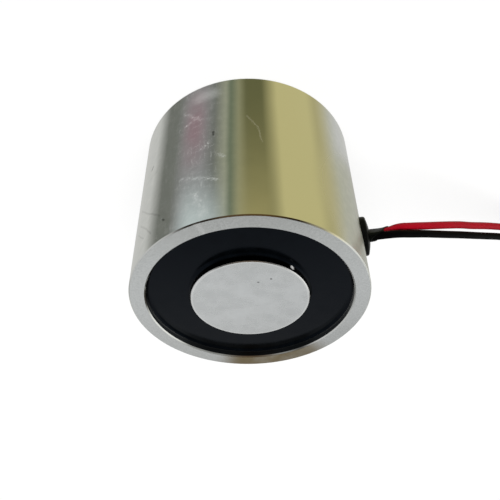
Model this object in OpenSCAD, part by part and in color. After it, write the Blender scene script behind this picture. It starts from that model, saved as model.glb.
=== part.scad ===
// Holding electromagnet: a turned steel pot with a pressed-in core, a wound bobbin that is
// sealed in with casting resin, and two insulated leads out of the side.
// It stands on its mounting face, with the origin at that face's centre and the pole face up.
// The leads leave along +X. All sizes are in millimetres.

/* [Pot] */
// Outside diameter of the pot
pot_d = 50; // [48:0.5:60]
// Height from the mounting face to the rim
pot_h = 44; // [42:0.5:60]
// Thickness of the side wall
pot_wall = 3.4; // [2.8:0.1:4]
// Thickness of the base
base_t = 6; // [4:0.5:8]
// Edge break on the outside of the rim
rim_break = 0.25; // [0.1:0.05:0.8]
// Edge break on the inside of the rim
mouth_break = 0.25; // [0.05:0.05:0.4]
// Edge break round the mounting face
back_break = 0.6; // [0.2:0.1:1.2]

/* [Core] */
// Diameter of the pole
pole_d = 24.8; // [20:0.2:26]
// Edge break round the pole face
pole_break = 0.15; // [0.1:0.05:0.5]
// Diameter of the spigot pressed into the base
spigot_d = 16; // [12:0.5:18]
// Tapping-drill diameter of the mounting thread
thread_bore_d = 5; // [4.2:0.1:6.8]
// Length of the mounting thread
thread_len = 12; // [8:0.5:16]
// Depth of the lead-in at the thread's mouth
thread_lead_in = 0.7; // [0.3:0.1:1]
// Angle of the drill point, tip to tip
drill_point = 118; // [90:1:140]

/* [Bobbin] */
// Wall of the bobbin's tube
bobbin_wall = 1.2; // [0.8:0.1:1.6]
// Thickness of the bobbin's flanges
flange_t = 1.4; // [1:0.1:2]
// Radial clearance between the bobbin and the core
bobbin_fit = 0.15; // [0.05:0.05:0.3]
// Radial clearance between the bobbin's flanges and the pot
bobbin_gap = 0.5; // [0.3:0.1:0.8]
// Width of the slot that brings the winding's start out
start_slot_w = 1.6; // [1:0.1:2.5]

/* [Winding] */
// Diameter of the wire, enamel included
wire_d = 0.8; // [0.6:0.1:1.2]
// Clearance between the winding and the bobbin
winding_fit = 0.05; // [0.02:0.01:0.1]
// Thickness of the tape round the winding
tape_t = 0.3; // [0.1:0.05:0.4]
// Clearance between the tape and what it covers
tape_fit = 0.05; // [0.02:0.01:0.1]
// Hole in the tape for each end of the winding
tape_hole_d = 1.2; // [1:0.1:1.5]

/* [Resin] */
// How far the resin lies below the rim
resin_drop = 1.9; // [1:0.1:2.5]
// Thickness of the resin over the bobbin
resin_t = 2.6; // [1.5:0.1:4]
// Radius of the resin's rise to each wall
resin_curve = 1; // [0.9:0.1:3]
// Width of the resin's rise to each wall
resin_rise_w = 0.8; // [0.4:0.1:0.9]

/* [Lead exit] */
// Distance from the rim to the middle of the exit
exit_drop = 13.5; // [12.5:0.1:16]
// Diameter of the hole in the side wall
exit_hole_d = 5.6; // [5.4:0.1:7]
// Diameter of the grommet's flange
grommet_d = 8.6; // [7.5:0.1:11]
// Thickness of the grommet's flange at its middle
grommet_t = 1.6; // [1.2:0.1:3]
// Thickness of the grommet's flange at its edge
grommet_edge_t = 1; // [0.8:0.1:1.2]
// Rounding of the flange's outer edge
grommet_round = 0.5; // [0.2:0.1:0.6]
// How deep the grommet reaches into the wall
grommet_depth = 2.8; // [1.5:0.1:2.8]
// Clearance round the grommet and its sleeve
grommet_fit = 0.05; // [0.02:0.01:0.1]
// How far the sleeve stands out of the flange
sleeve_out = 2.9; // [1:0.1:6]
// Wall of the sleeve
sleeve_wall = 0.2; // [0.2:0.05:0.4]
// Turn of the lead pair about the exit's axis
pair_turn = 65; // [45:1:90]

/* [Leads] */
// Diameter of a lead over its insulation
lead_d = 1.7; // [1.4:0.1:1.7]
// Clearance round the leads in their sleeve and at their joints
lead_fit = 0.1; // [0.05:0.05:0.15]
// Distance between the two leads, middle to middle
lead_pitch = 1.8; // [1.75:0.05:1.9]
// Bend of a lead behind the wall
inner_bend = 2.2; // [2:0.1:2.4]
// Diameter of the insulated joints
joint_d = 2.3; // [2:0.1:2.5]
// Length of the insulated joints
joint_len = 6; // [4:0.5:10]
// Clearance between the joints and the tape
joint_gap = 0.15; // [0.05:0.05:0.2]
// Clearance between the joints and the pot
joint_wall_gap = 0.6; // [0.3:0.1:1]
// Diameter of the tinned wire ends
tinned_d = 0.8; // [0.5:0.1:1.2]
// Length of the tinned wire ends
tinned_len = 6; // [4:0.5:8]

/* [Lead coil] */
// Radius of the coil's outermost turn, to the middle of the lead
coil_r = 11.2; // [10:0.1:14]
// Turns in the coil
coil_turns = 2; // [1:1:3]
// Thickness of the tie's band
tie_t = 0.4; // [0.2:0.1:0.8]
// How much of the coil the tie covers, in degrees
tie_span = 18; // [10:1:30]
// Where the tie sits round the coil, in degrees
tie_turn = 110; // [90:1:150]
// Edge of the tie's head
tie_head = 2.6; // [2:0.1:4]

/* [Hidden] */
$fn = 96;

// Over-length for cutters, so that no cut ends on a face
past = 1;

pot_r = pot_d / 2;
bore_r = pot_r - pot_wall;
pole_r = pole_d / 2;
spigot_r = spigot_d / 2;

resin_z = pot_h - resin_drop;
bobbin_top = resin_z - resin_t;
flange_r = bore_r - bobbin_gap;
bobbin_in_r = pole_r + bobbin_fit;
bobbin_out_r = bobbin_in_r + bobbin_wall;

winding_in_r = bobbin_out_r + winding_fit;
// The winding fills what its tape and the joints leave of the pot's bore
winding_d = 2 * (bore_r - joint_wall_gap - joint_d - joint_gap - tape_t - tape_fit);
winding_r = winding_d / 2;
winding_low = base_t + flange_t + winding_fit;
winding_high = bobbin_top - flange_t - winding_fit;
winding_h = winding_high - winding_low;
layer_turns = floor(winding_h / wire_d);
turn_pitch = winding_h / layer_turns;
tape_in_r = winding_r + tape_fit;
tape_r = tape_in_r + tape_t;

exit_z = pot_h - exit_drop;
grommet_inner_x = pot_r - grommet_depth;
flange_face_x = pot_r + grommet_t;
sleeve_end_x = flange_face_x + sleeve_out;
sleeve_d = lead_d + 2 * lead_fit + 2 * sleeve_wall;
pair_y = lead_pitch / 2 * cos(pair_turn);
pair_z = lead_pitch / 2 * sin(pair_turn);
joint_x = tape_r + joint_gap + joint_d / 2;
joint_y = joint_d / 2 + joint_gap;
joint_top = exit_z - pair_z - inner_bend - lead_d / 2;
joint_low = joint_top - joint_len;
wire_turn_z = joint_low - 2 * wire_d;
bend_x = joint_x + inner_bend;

// Route of the red lead, from inside its sleeve to the coil
RED_ROUTE = [
    [25.8, -0.4, 29.7], [29.6, -0.4, 29.7], [33.1, -0.7, 28.6], [35.9, -1.7, 27.9], [38.9, -3.1, 27],
    [41.8, -4.7, 25.9], [45.1, -6.7, 24.5], [47.9, -8.7, 23.1], [50.9, -11, 21.7],
    [54.9, -14.1, 19.6], [59.2, -17.6, 17.4], [63.3, -21.1, 15.2], [66.5, -24.6, 11.9],
    [69.2, -28, 8.4], [71.8, -31.4, 5], [74.6, -34.4, 2.3], [77.6, -37.4, 1.25]
];
// Route of the black lead, which stays above the red one
BLACK_ROUTE = [
    [25.8, 0.4, 31.3], [29.6, 0.4, 31.3], [32.8, -0.5, 30.7], [35.5, -1.9, 29.9], [38.6, -3.7, 28.8],
    [41.5, -5.7, 27.6], [44.7, -8, 26.2], [47.6, -10.2, 24.8], [50.6, -12.5, 23.4],
    [54.6, -15.8, 21.3], [58.9, -19.3, 19.1], [63, -23, 16.9], [66.4, -26.4, 13.6],
    [69.3, -29.4, 10.2], [71.9, -32.2, 6.9], [74.6, -34.7, 4.2], [77.6, -37.4, 3.05]
];
// Middle of the coil on the surface that the part stands on, and where the leads come into it
COIL_PLACE = [85.5, -29.5];
COIL_ENTRY = -135;

coil_outer_r = coil_r + lead_d / 2;
coil_end_r = coil_r - coil_turns * lead_pitch;
coil_inner_r = coil_end_r - lead_d / 2;
coil_h = lead_pitch + lead_d;
red_lie_z = tie_t + lead_d / 2;
black_lie_z = red_lie_z + lead_pitch;
// The leads' ends turn in from the coil: radius of that turn, how far each goes round, and
// the number of steps it is drawn in
tail_bend = 4.5;
red_tail_turn = 135;
black_tail_turn = 105;
tail_steps = 5;
// Sides of a lead's tube, and the angle between its rings behind the wall
lead_sides = 8;
bend_step = 22.5;
// Steps in the resin's rise to a wall, and in the grommet's rounding and dome
resin_steps = 8;
round_steps = 6;
dome_steps = 6;
// Sides of a turn's outline on the winding
turn_sides = 12;

STEEL = "Silver";
CORE_STEEL = "LightGray";
RESIN = [0.1, 0.11, 0.12];
RUBBER = [0.06, 0.06, 0.06];
NYLON = "Ivory";
COPPER = [0.72, 0.38, 0.2];
TAPE = "Gold";
RED = [0.75, 0.06, 0.12];
BLACK = [0.08, 0.08, 0.08];
TIN = "Gainsboro";

// Shared shapes

function unit(v) = v / norm(v);
function heading(path, i) =
    unit(path[min(i + 1, len(path) - 1)] - path[max(i - 1, 0)]);
function ring(centre, along, reference, r) =
    let (u = unit(cross(reference, along)), v = cross(along, u))
    [for (k = [0 : lead_sides - 1])
        let (a = 360 * k / lead_sides)
        centre + r * (cos(a) * u + sin(a) * v)];

// A round tube along a path; the reference direction is one that the path never follows
module tube(path, d, reference) {
    last = len(path) - 1;
    points = [for (i = [0 : last]) each ring(path[i], heading(path, i), reference, d / 2)];
    start_cap = [[for (k = [0 : lead_sides - 1]) k]];
    end_cap = [[for (k = [lead_sides - 1 : -1 : 0]) last * lead_sides + k]];
    walls = [for (i = [0 : last - 1]) for (k = [0 : lead_sides - 1])
        let (here = i * lead_sides, next = (k + 1) % lead_sides)
        [here + k, here + lead_sides + k, here + lead_sides + next, here + next]];
    polyhedron(points, concat(start_cap, end_cap, walls));
}

// A turned ring from one height to another, with its outer edges broken
module turned(r, low, high, low_break, high_break) {
    rotate_extrude()
        polygon([
            [0, low], [r - low_break, low], [r, low + low_break],
            [r, high - high_break], [r - high_break, high], [0, high]
        ]);
}

// A cylinder along X at a given place
module along_x(d, x0, x1, y, z) {
    translate([x0, y, z])
        rotate([0, 90, 0])
            cylinder(d = d, h = x1 - x0);
}

// The outline of two round leads side by side, turned about the exit's axis
module pair_along_x(d, x0, x1) {
    translate([x0, 0, exit_z])
        rotate([pair_turn, 0, 0])
            rotate([90, 0, 90])
                linear_extrude(x1 - x0) {
                    for (side = [-1, 1])
                        translate([side * lead_pitch / 2, 0])
                            circle(d = d);
                    square([lead_pitch, d], center = true);
                }
}

// The steel pot

module pot_shell() {
    color(STEEL)
        difference() {
            turned(pot_r, 0, pot_h, back_break, rim_break);
            translate([0, 0, base_t])
                cylinder(r = bore_r, h = pot_h);
            translate([0, 0, pot_h - mouth_break])
                cylinder(r1 = bore_r, r2 = bore_r + mouth_break + past, h = mouth_break + past);
            translate([0, 0, -past])
                cylinder(r = spigot_r, h = base_t + 2 * past);
            along_x(exit_hole_d, joint_x, pot_r + past, 0, exit_z);
        }
}

// The core, with its spigot flush with the mounting face

module core_pole() {
    mouth_r = thread_bore_d / 2 + thread_lead_in;
    bore_end = thread_lead_in + thread_len;
    point_h = thread_bore_d / 2 / tan(drill_point / 2);
    color(CORE_STEEL)
        difference() {
            union() {
                turned(pole_r, base_t, pot_h, 0, pole_break);
                cylinder(r = spigot_r, h = base_t + past);
            }
            translate([0, 0, -past])
                cylinder(d = thread_bore_d, h = bore_end + past);
            translate([0, 0, -past])
                cylinder(r1 = mouth_r + past, r2 = thread_bore_d / 2, h = thread_lead_in + past);
            translate([0, 0, bore_end])
                cylinder(d1 = thread_bore_d, d2 = 0, h = point_h);
        }
}

// The bobbin, its winding and the tape

module bobbin() {
    color(NYLON)
        difference() {
            union() {
                translate([0, 0, base_t])
                    cylinder(r = bobbin_out_r, h = bobbin_top - base_t);
                translate([0, 0, base_t])
                    cylinder(r = flange_r, h = flange_t);
                translate([0, 0, bobbin_top - flange_t])
                    cylinder(r = flange_r, h = flange_t);
            }
            translate([0, 0, base_t - past])
                cylinder(r = bobbin_in_r, h = pot_h);
            translate([-flange_r - past, -start_slot_w / 2, bobbin_top - flange_t - past])
                cube([flange_r + past - winding_in_r, start_slot_w, flange_t + 2 * past]);
        }
}

// One end of the winding: out through the tape, then up the wall into its joint
module winding_end(y) {
    along_x(wire_d, winding_r - wire_d, joint_x, y, wire_turn_z);
    translate([joint_x, y, wire_turn_z])
        sphere(d = wire_d);
    translate([joint_x, y, wire_turn_z])
        cylinder(d = wire_d, h = joint_low - wire_turn_z + joint_len / 2);
}

module coil_winding() {
    color(COPPER) {
        rotate_extrude() {
            translate([winding_in_r, winding_low])
                square([winding_r - wire_d / 2 - winding_in_r, winding_h]);
            for (i = [0 : layer_turns - 1])
                translate([winding_r - wire_d / 2, winding_low + (i + 0.5) * turn_pitch])
                    circle(d = wire_d, $fn = turn_sides);
        }
        for (y = [-joint_y, joint_y])
            winding_end(y);
    }
}

module coil_tape() {
    color(TAPE)
        difference() {
            translate([0, 0, winding_low])
                cylinder(r = tape_r, h = winding_h);
            translate([0, 0, winding_low - past])
                cylinder(r = tape_in_r, h = winding_h + 2 * past);
            for (y = [-joint_y, joint_y])
                along_x(tape_hole_d, 0, tape_r + past, y, wire_turn_z);
        }
}

// The casting resin, which climbs a little at the pole and at the wall

function resin_rise(wall_r, side) =
    [for (i = [0 : resin_steps])
        let (run = resin_rise_w * i / resin_steps)
        [wall_r + side * (resin_rise_w - run),
         resin_z + resin_curve - sqrt(pow(resin_curve, 2) - pow(run, 2))]];

module potting_ring() {
    at_wall = resin_rise(bore_r, -1);
    under = [
        [pole_r, bobbin_top], [flange_r, bobbin_top],
        [flange_r, bobbin_top - flange_t], [bore_r, bobbin_top - flange_t]
    ];
    color(RESIN)
        rotate_extrude()
            polygon(concat(
                under,
                [for (i = [resin_steps : -1 : 0]) at_wall[i]],
                resin_rise(pole_r, 1)
            ));
}

// The insulated joints behind the wall

module joint_sleeve(y) {
    translate([joint_x, y, joint_low])
        difference() {
            cylinder(d = joint_d, h = joint_len);
            translate([0, 0, -past])
                cylinder(d = wire_d + 2 * winding_fit, h = joint_len / 2 + past + lead_fit);
        }
}

module joint_sleeve_red() {
    color(RED)
        joint_sleeve(-joint_y);
}

module joint_sleeve_black() {
    color(BLACK)
        joint_sleeve(joint_y);
}

// The grommet in the wall, shaped to the pot behind its domed flange, and the sleeve through it

// The flange's outline, radius against distance from the pot's axis
function flange_outline() =
    let (
        face_r = grommet_d / 2,
        edge_x = pot_r + grommet_edge_t,
        dome_r = face_r - grommet_round,
        dome_h = grommet_t - grommet_edge_t
    )
    concat(
        [[0, 0], [face_r, 0]],
        [for (i = [0 : round_steps])
            let (a = 90 * i / round_steps)
            [dome_r + grommet_round * cos(a), edge_x - grommet_round * (1 - sin(a))]],
        [for (i = [1 : dome_steps])
            let (rest = 1 - i / dome_steps)
            [dome_r * rest, edge_x + dome_h * (1 - pow(rest, 2))]]
    );

module lead_grommet() {
    color(RUBBER)
        difference() {
            union() {
                difference() {
                    translate([0, 0, exit_z])
                        rotate([0, 90, 0])
                            rotate_extrude()
                                polygon(flange_outline());
                    cylinder(r = pot_r, h = pot_h);
                }
                along_x(exit_hole_d - 2 * grommet_fit, grommet_inner_x, pot_r + grommet_edge_t, 0, exit_z);
            }
            pair_along_x(sleeve_d + 2 * grommet_fit, grommet_inner_x - past, flange_face_x + past);
        }
}

module lead_sleeve() {
    color(BLACK)
        difference() {
            pair_along_x(sleeve_d, grommet_inner_x, sleeve_end_x);
            pair_along_x(sleeve_d - 2 * sleeve_wall, grommet_inner_x - past, sleeve_end_x + past);
        }
}

// The leads: a bend from the joint to the exit, then the route to the coil

// side is -1 for the red lead and 1 for the black one
function bend_from_joint(side) =
    let (level = exit_z + side * pair_z)
    concat(
        [[joint_x, side * joint_y, joint_top + lead_fit]],
        [for (a = [0 : bend_step : 90])
            [bend_x - inner_bend * cos(a),
             side * (joint_y + (pair_y - joint_y) * a / 90),
             level - inner_bend * (1 - sin(a))]]
    );

module coil_room() {
    translate([COIL_PLACE.x, COIL_PLACE.y, 0])
        cylinder(r = coil_outer_r, h = tie_t + coil_h + past);
}

module lead_red() {
    color(RED)
        difference() {
            tube(concat(bend_from_joint(-1), RED_ROUTE), lead_d, [0, 1, 0]);
            coil_room();
        }
}

module lead_black() {
    color(BLACK)
        difference() {
            tube(concat(bend_from_joint(1), BLACK_ROUTE), lead_d, [0, 1, 0]);
            coil_room();
        }
}

// The wound-up length of both leads, as one ring, and its tie

module coil_section(extra) {
    translate([coil_inner_r - extra, tie_t - extra])
        square([coil_outer_r - coil_inner_r + 2 * extra, coil_h + 2 * extra]);
}

module lead_coil() {
    color(BLACK)
        translate([COIL_PLACE.x, COIL_PLACE.y, 0])
            rotate_extrude()
                coil_section(0);
}

module lead_tie() {
    color(BLACK)
        translate([COIL_PLACE.x, COIL_PLACE.y, 0]) rotate([0, 0, tie_turn]) {
            rotate_extrude(angle = tie_span)
                difference() {
                    coil_section(tie_t);
                    coil_section(0);
                }
            rotate([0, 0, tie_span / 2])
                translate([coil_outer_r + tie_t / 2, -tie_head / 2, tie_t])
                    cube([tie_head, tie_head, tie_head]);
        }
}

// The leads' last stretch, turned in from the coil, and the stripped ends

tail_middle = COIL_PLACE + (coil_end_r - tail_bend) * [cos(COIL_ENTRY), sin(COIL_ENTRY)];
function tail_point(turn, z) =
    let (a = COIL_ENTRY + turn)
    [tail_middle.x + tail_bend * cos(a), tail_middle.y + tail_bend * sin(a), z];
function tail_tip(turn, z) =
    let (a = COIL_ENTRY + turn + 90)
    tail_point(turn, z) + lead_d * [cos(a), sin(a), 0];

module lead_tail(turn, z) {
    arc = [for (i = [0 : tail_steps]) tail_point(turn * i / tail_steps, z)];
    difference() {
        tube(concat(arc, [tail_tip(turn, z)]), lead_d, [0, 0, 1]);
        lead_coil();
    }
}

module tinned_end(turn, z) {
    translate(tail_tip(turn, z))
        rotate([0, 90, COIL_ENTRY + turn + 90])
            cylinder(d = tinned_d, h = tinned_len);
}

module lead_red_tail() {
    color(RED)
        lead_tail(red_tail_turn, red_lie_z);
}

module lead_black_tail() {
    color(BLACK)
        lead_tail(black_tail_turn, black_lie_z);
}

module tinned_end_red() {
    color(TIN)
        tinned_end(red_tail_turn, red_lie_z);
}

module tinned_end_black() {
    color(TIN)
        tinned_end(black_tail_turn, black_lie_z);
}

pot_shell();
core_pole();
bobbin();
coil_winding();
coil_tape();
potting_ring();
joint_sleeve_red();
joint_sleeve_black();
lead_grommet();
lead_sleeve();
lead_red();
lead_black();
lead_coil();
lead_tie();
lead_red_tail();
lead_black_tail();
tinned_end_red();
tinned_end_black();
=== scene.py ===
# %% [markdown]
# # A holding electromagnet
# A holding electromagnet is a turned steel cup with a coil in it. While current flows, the rim
# and the round pole in the middle grip a steel plate. The shapes of the steel come from the CAD
# frame, at their real size, so this lesson adds what CAD leaves plain: the loose leads, the small
# wire details, and above all the finishes.

# %% Load the frame
import math

import bmesh
import bpy
from mathutils import Matrix, Quaternion, Vector


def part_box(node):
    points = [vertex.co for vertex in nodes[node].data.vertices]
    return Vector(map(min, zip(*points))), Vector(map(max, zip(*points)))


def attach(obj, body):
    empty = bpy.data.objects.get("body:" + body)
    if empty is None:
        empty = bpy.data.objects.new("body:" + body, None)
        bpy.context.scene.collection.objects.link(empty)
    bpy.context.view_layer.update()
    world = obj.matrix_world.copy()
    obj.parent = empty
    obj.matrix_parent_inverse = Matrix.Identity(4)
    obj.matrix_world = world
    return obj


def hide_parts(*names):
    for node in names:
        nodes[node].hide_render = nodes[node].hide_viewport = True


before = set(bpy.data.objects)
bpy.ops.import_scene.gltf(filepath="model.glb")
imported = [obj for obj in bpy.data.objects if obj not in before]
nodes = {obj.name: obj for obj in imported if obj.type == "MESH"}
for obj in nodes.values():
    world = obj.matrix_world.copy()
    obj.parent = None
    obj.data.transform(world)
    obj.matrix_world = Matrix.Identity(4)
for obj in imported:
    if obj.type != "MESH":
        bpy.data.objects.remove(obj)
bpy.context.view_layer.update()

scene = bpy.context.scene
MM = 0.001

# %% [markdown]
# ## The camera
# The part stands on its mounting face, but the picture shows it with the pole face turned down.
# Nothing in the part has to move for that: the camera looks down on the pole face and is rolled
# half a turn, so the mounting face comes to the top of the picture.

# %% Place the camera
CAMERA_PLACE = Vector((0.01771, 0.10042, 0.12171))
CAMERA_AIM = Vector((0.00109, 0.00526, 0.03471))
CAMERA_ROLL = math.radians(178.84)
CAMERA_LENS_MM = 44.318
NEAREST_SEEN = 0.005

camera = bpy.data.objects.new("camera", bpy.data.cameras.new("camera"))
scene.collection.objects.link(camera)
camera.data.lens = CAMERA_LENS_MM
camera.data.clip_start = NEAREST_SEEN
camera.location = CAMERA_PLACE
level = (CAMERA_AIM - CAMERA_PLACE).to_track_quat("-Z", "Y")
camera.rotation_mode = "QUATERNION"
camera.rotation_quaternion = level @ Quaternion((0, 0, 1), CAMERA_ROLL)
scene.camera = camera
print("camera: %.0f mm from its aim" % ((CAMERA_AIM - CAMERA_PLACE).length / MM))

# %% [markdown]
# ## The leads
# Two vinyl-insulated leads leave the side wall together, sag to the table and are wound up in one
# small coil. A lead is a fixed length of something flexible, so each is one curve with a round
# bevel: first a list of places along its route, then two turns worked out by a loop, then a short
# tail that turns in from the coil. The black lead lies on the red one all the way.

# %% Draw the two leads
LEAD_D = 0.0017
LEAD_PITCH = 0.0018
COIL_MIDDLE = Vector((0.0855, -0.0295, 0))
COIL_ENTRY = math.radians(-135)
COIL_R = 0.0112
COIL_TURNS = 2
POINTS_A_TURN = 16
TAIL_R = 0.0045
TAIL_STEPS = 6
RED_TAIL_TURN = math.radians(135)
BLACK_TAIL_TURN = math.radians(105)
RED_LIE_Z = 0.00125
BLACK_LIE_Z = RED_LIE_Z + LEAD_PITCH
STEPS_A_SPAN = 8
BEVEL_STEPS = 6

RED_ROUTE = [
    (0.0223, -0.0004, 0.0297), (0.0258, -0.0004, 0.0297), (0.0296, -0.0004, 0.0297),
    (0.0331, -0.0007, 0.0286), (0.0359, -0.0017, 0.0279), (0.0389, -0.0031, 0.0270),
    (0.0418, -0.0047, 0.0259), (0.0451, -0.0067, 0.0245), (0.0479, -0.0087, 0.0231),
    (0.0509, -0.0110, 0.0217), (0.0549, -0.0141, 0.0196), (0.0592, -0.0176, 0.0174),
    (0.0633, -0.0211, 0.0152), (0.0665, -0.0246, 0.0119), (0.0692, -0.0280, 0.0084),
    (0.0718, -0.0314, 0.0050), (0.0746, -0.0344, 0.0023), (0.0776, -0.0374, 0.00125),
]
BLACK_ROUTE = [
    (0.0223, 0.0004, 0.0313), (0.0258, 0.0004, 0.0313), (0.0296, 0.0004, 0.0313),
    (0.0328, -0.0005, 0.0307), (0.0355, -0.0019, 0.0299), (0.0386, -0.0037, 0.0288),
    (0.0415, -0.0057, 0.0276), (0.0447, -0.0080, 0.0262), (0.0476, -0.0102, 0.0248),
    (0.0506, -0.0125, 0.0234), (0.0546, -0.0158, 0.0213), (0.0589, -0.0193, 0.0191),
    (0.0630, -0.0230, 0.0169), (0.0664, -0.0264, 0.0136), (0.0693, -0.0294, 0.0102),
    (0.0719, -0.0322, 0.0069), (0.0746, -0.0347, 0.0042), (0.0776, -0.0374, 0.00305),
]


def round_point(middle, radius, angle, height):
    """A point on a level circle."""
    return Vector((middle.x + radius * math.cos(angle), middle.y + radius * math.sin(angle), height))


def lead_line(route, height, tail_turn):
    """The whole centreline of a lead: its route, its turns in the coil, and its tail."""
    line = [Vector(p) for p in route]
    for i in range(1, COIL_TURNS * POINTS_A_TURN + 1):
        turns = i / POINTS_A_TURN
        line.append(round_point(COIL_MIDDLE, COIL_R - LEAD_PITCH * turns,
                                COIL_ENTRY + 2 * math.pi * turns, height))
    end_r = COIL_R - LEAD_PITCH * COIL_TURNS
    tail_middle = round_point(COIL_MIDDLE, end_r - TAIL_R, COIL_ENTRY, height)
    for i in range(1, TAIL_STEPS + 1):
        line.append(round_point(tail_middle, TAIL_R, COIL_ENTRY + tail_turn * i / TAIL_STEPS, height))
    heading = COIL_ENTRY + tail_turn + math.pi / 2
    tip = line[-1] + LEAD_D * Vector((math.cos(heading), math.sin(heading), 0))
    return line + [tip]


def lead_curve(name, line):
    """One smooth open curve through the points, with the lead's round section."""
    curve = bpy.data.curves.new(name, "CURVE")
    curve.dimensions = "3D"
    curve.resolution_u = STEPS_A_SPAN
    curve.bevel_depth = LEAD_D / 2
    curve.bevel_resolution = BEVEL_STEPS
    curve.use_fill_caps = True
    spline = curve.splines.new("BEZIER")
    spline.bezier_points.add(len(line) - 1)
    for point, place in zip(spline.bezier_points, line):
        point.co = place
        point.handle_left_type = point.handle_right_type = "AUTO"
    piece = bpy.data.objects.new(name, curve)
    scene.collection.objects.link(piece)
    return piece


red_line = lead_line(RED_ROUTE, RED_LIE_Z, RED_TAIL_TURN)
black_line = lead_line(BLACK_ROUTE, BLACK_LIE_Z, BLACK_TAIL_TURN)
red_lead = lead_curve("red_lead", red_line)
black_lead = lead_curve("black_lead", black_line)
print("leads:", len(red_line), "and", len(black_line), "points")

# %% [markdown]
# ## The leads behind the wall
# Inside the pot each lead bends down to the joint with its winding end. That stretch is fixed in
# resin, so it isn't part of the loose cord: it is a short piece of the same tube, turned into a
# mesh, from the joint's top round a quarter circle to where the loose lead starts.

# %% Bend each lead down to its joint
INNER_BEND = 0.0022
BEND_STEPS = 6


def inner_lead(name, joint_node, start):
    """The stretch of a lead from its joint to the start of its loose length."""
    low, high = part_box(joint_node)
    foot = Vector(((low[0] + high[0]) / 2, (low[1] + high[1]) / 2, high[2]))
    line = [foot]
    for i in range(BEND_STEPS + 1):
        turn = math.pi / 2 * i / BEND_STEPS
        line.append(Vector((foot.x + INNER_BEND * (1 - math.cos(turn)),
                            foot.y + (start.y - foot.y) * i / BEND_STEPS,
                            start.z - INNER_BEND * (1 - math.sin(turn)))))
    line.append(start)
    tube = lead_curve(name + "_line", line)
    mesh = bpy.data.meshes.new_from_object(tube.evaluated_get(bpy.context.evaluated_depsgraph_get()))
    bpy.data.objects.remove(tube)
    piece = bpy.data.objects.new(name, mesh)
    scene.collection.objects.link(piece)
    print(name + ":", len(mesh.polygons), "faces")
    return piece


red_inner = inner_lead("red_lead_inner", "joint_sleeve_red", red_line[0])
black_inner = inner_lead("black_lead_inner", "joint_sleeve_black", black_line[0])

# %% [markdown]
# ## The shrunk sleeve
# A short length of shrink sleeving holds the two leads together in the grommet. It is cut askew,
# so it reaches further along the red lead than along the black one, and it follows the leads as
# they start to bend. The outline at each step is the tight loop round both leads, so one function
# gives every ring of the mesh, outside and inside. Shallow puckers lean along it.

# %% Shrink the sleeve round both leads
SLEEVE_START_X = 0.0222
SLEEVE_END_X = 0.0289
SLEEVE_ASKEW = 0.0021
SLEEVE_WALL = 0.00018
SLEEVE_FIT = 0.00004
SLEEVE_STEPS = 14
SLEEVE_SIDES = 40
PUCKER = 0.00004
PUCKERS_ROUND = 3
PUCKER_LEAN = 9


def lead_at(route, x):
    """Where a lead's centreline crosses a plane of constant x."""
    for a, b in zip(route[:-1], route[1:]):
        if x <= b[0]:
            return Vector(a).lerp(Vector(b), (x - a[0]) / (b[0] - a[0]))
    return Vector(route[-1])


def sleeve_ring(step, stand_off):
    """One loop round both leads, at a step from the grommet's inner end to the askew end."""
    ring = []
    for i in range(SLEEVE_SIDES):
        angle = 2 * math.pi * i / SLEEVE_SIDES
        out = Vector((0, math.cos(angle), math.sin(angle)))
        end_x = SLEEVE_END_X - SLEEVE_ASKEW * math.sin(angle)
        x = SLEEVE_START_X + (end_x - SLEEVE_START_X) * step
        red, black = lead_at(RED_ROUTE, x), lead_at(BLACK_ROUTE, x)
        middle = black if out.dot(black - red) > 0 else red
        pinch = PUCKER * math.sin(PUCKERS_ROUND * angle + PUCKER_LEAN * step) * step
        ring.append(middle + out * (LEAD_D / 2 + stand_off + pinch))
    return ring


sleeve_form = bmesh.new()
steps = [i / SLEEVE_STEPS for i in range(SLEEVE_STEPS + 1)]
rings = [sleeve_ring(s, SLEEVE_FIT + SLEEVE_WALL) for s in steps]
rings += [sleeve_ring(s, SLEEVE_FIT) for s in reversed(steps)]
loops = [[sleeve_form.verts.new(p) for p in ring] for ring in rings]
for one, other in zip(loops, loops[1:] + loops[:1]):
    for i in range(SLEEVE_SIDES):
        j = (i + 1) % SLEEVE_SIDES
        sleeve_form.faces.new((one[i], one[j], other[j], other[i]))
bmesh.ops.recalc_face_normals(sleeve_form, faces=sleeve_form.faces)
for face in sleeve_form.faces:
    face.smooth = True
sleeve_mesh = bpy.data.meshes.new("shrunk_sleeve")
sleeve_form.to_mesh(sleeve_mesh)
sleeve_form.free()
shrunk_sleeve = bpy.data.objects.new("shrunk_sleeve", sleeve_mesh)
scene.collection.objects.link(shrunk_sleeve)
print("sleeve:", len(sleeve_mesh.polygons), "faces")

# %% [markdown]
# ## Helpers for nodes
# Colours are written as the sRGB hex values that a paint chart gives, and shaders want linear
# light, so one function turns one into the other. One small function adds any node with its
# settings and links, for materials, for the room and for geometry alike. The rest are ways to
# think about a finish: a soft band across a surface, and coats of colour laid over each other.
# Most of a noise lies between 0.3 and 0.7, so those values are its usual range.

# %% Node helpers
SMOOTH = {"interpolation_type": "SMOOTHSTEP"}
NOISE_LOW, NOISE_HIGH = 0.3, 0.7


def linear(hex_colour):
    """An sRGB hex value as a linear colour with full alpha."""
    parts = [int(hex_colour[i:i + 2], 16) / 255 for i in (1, 3, 5)]
    light = [c / 12.92 if c <= 0.04045 else ((c + 0.055) / 1.055) ** 2.4 for c in parts]
    return (*light, 1.0)


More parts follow.
